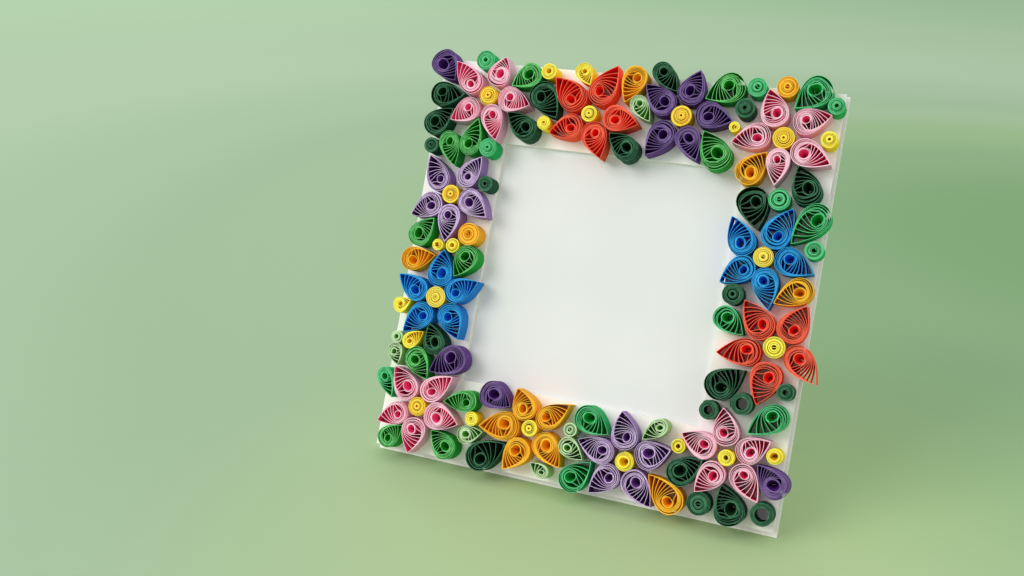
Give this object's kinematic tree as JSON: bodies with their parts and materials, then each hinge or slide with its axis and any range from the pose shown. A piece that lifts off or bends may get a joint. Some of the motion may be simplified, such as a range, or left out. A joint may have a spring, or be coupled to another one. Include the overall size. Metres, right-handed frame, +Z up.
{
  "type": "quilled paper photo frame",
  "caption": "Square standing photo frame of white card on a folded leg, its front bars covered with quilled paper flowers, leaves and round rolls.",
  "frame": {"origin": "on the table, at the middle of the back board's bottom edge, on its rear corner", "axes": "+X to the right as seen from the front, along the bars; +Y away from the viewer, towards the leg; +Z up; the picture faces -Y and leans back 22 degrees"},
  "size_m": [0.1586, 0.0976, 0.1485],
  "materials": {
    "white_card": "matt, uncoated",
    "white_paper": "matt, uncoated",
    "pink_paper": "matt, uncoated",
    "red_paper": "matt, uncoated",
    "purple_paper": "matt, uncoated",
    "lilac_paper": "matt, uncoated",
    "blue_paper": "matt, uncoated",
    "orange_paper": "matt, uncoated",
    "lemon_paper": "matt, uncoated",
    "golden_paper": "matt, uncoated",
    "pale_gold_paper": "matt, uncoated",
    "dark_green_paper": "matt, uncoated",
    "emerald_paper": "matt, uncoated",
    "grass_green_paper": "matt, uncoated",
    "pale_green_paper": "matt, uncoated"
  },
  "bodies": {
    "root": {"back_board": "white_card", "blue_flower_left": "blue_paper", "blue_flower_right": "blue_paper", "blue_middle_left": "pale_gold_paper", "blue_middle_right": "pale_gold_paper", "dark_leaves_bottom": "dark_green_paper", "dark_leaves_left": "dark_green_paper", "dark_leaves_right": "dark_green_paper", "dark_leaves_top": "dark_green_paper", "easel_leg": "white_card", "emerald_leaves_bottom": "emerald_paper", "emerald_leaves_right": "emerald_paper", "emerald_rolls_left": "emerald_paper", "emerald_rolls_top": "emerald_paper", "front_ring": "white_card", "grass_leaves_bottom": "grass_green_paper", "grass_leaves_left": "grass_green_paper", "grass_leaves_top": "grass_green_paper", "leg_tie": "white_paper", "lilac_flower_bottom": "lilac_paper", "lilac_flower_left": "lilac_paper", "lilac_middle_bottom": "lemon_paper", "lilac_middle_left": "golden_paper", "orange_flower_bottom": "orange_paper", "orange_leaf_bottom": "orange_paper", "orange_leaves_right": "orange_paper", "orange_middle_bottom": "lemon_paper", "orange_rolls_left": "orange_paper", "orange_rolls_top": "orange_paper", "pale_leaf_top": "pale_green_paper", "pale_rolls_bottom": "pale_green_paper", "pale_rolls_left": "pale_green_paper", "picture_sheet": "white_paper", "pink_flower_bottom_left": "pink_paper", "pink_flower_bottom_right": "pink_paper", "pink_flower_top_left": "pink_paper", "pink_flower_top_right": "pink_paper", "pink_middle_bottom_left": "golden_paper", "pink_middle_bottom_right": "lemon_paper", "pink_middle_top_left": "golden_paper", "pink_middle_top_right": "golden_paper", "purple_flower_top": "purple_paper", "purple_leaf_left": "purple_paper", "purple_leaves_bottom": "purple_paper", "purple_middle_top": "golden_paper", "purple_rolls_top": "purple_paper", "red_flower_right": "red_paper", "red_flower_top": "red_paper", "red_middle_right": "lemon_paper", "red_middle_top": "lemon_paper", "spacer_bottom": "white_card", "spacer_left": "white_card", "spacer_right": "white_card", "yellow_rolls_bottom": "lemon_paper", "yellow_rolls_left": "lemon_paper", "yellow_rolls_top": "lemon_paper"}
  },
  "joints": []
}
